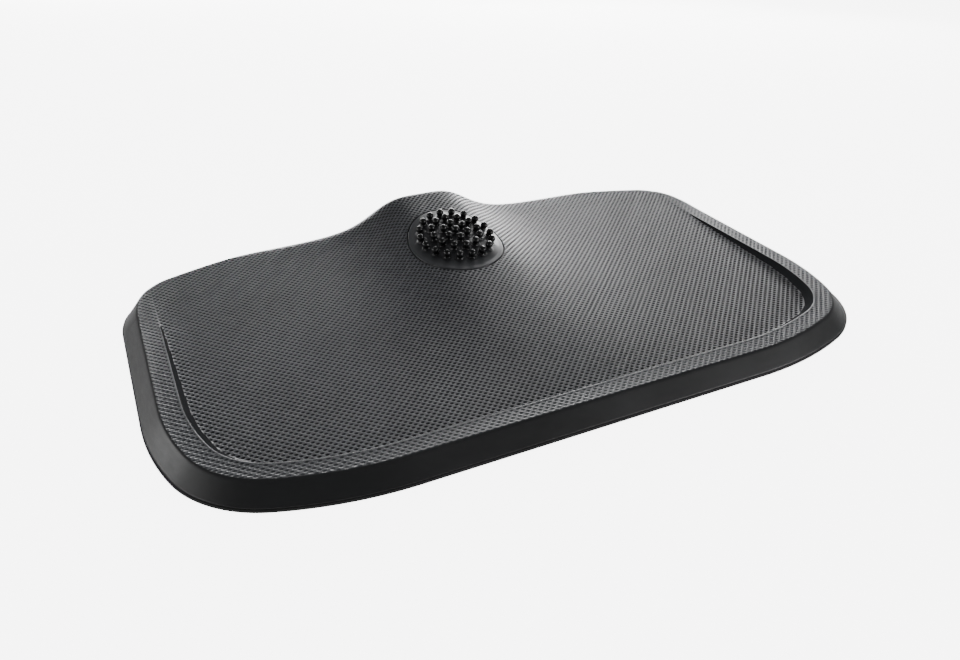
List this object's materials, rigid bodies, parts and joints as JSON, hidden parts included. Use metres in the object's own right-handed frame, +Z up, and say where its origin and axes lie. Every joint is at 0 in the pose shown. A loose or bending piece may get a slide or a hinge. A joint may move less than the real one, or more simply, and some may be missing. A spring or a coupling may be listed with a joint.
{
  "type": "anti fatigue mat",
  "caption": "Contoured anti-fatigue standing mat with a raised rim, a rear foot mound and a drop-in knobbed massage insert.",
  "frame": {"origin": "middle of the underside, on the floor", "axes": "+X along the long side, to the right of a person who faces the mound; +Y from the front edge towards the mound; +Z up"},
  "size_m": [0.914, 0.56, 0.0787],
  "materials": {
    "base_rubber": "matte",
    "foam_skin": "satin",
    "socket_plastic": "matte",
    "carrier_plastic": "matte",
    "pad_gloss": "gloss"
  },
  "bodies": {
    "mat": {"mat_body": "foam_skin", "base_sheet": "base_rubber", "insert_socket": "socket_plastic"},
    "massage_insert": {"insert_carrier": "carrier_plastic", "massage_pad": "pad_gloss"}
  },
  "joints": [
    {"name": "insert_lift", "type": "slide", "parent": "mat", "child": "massage_insert", "axis": [0, 0, 1], "range_m": [0, 0.06]}
  ]
}
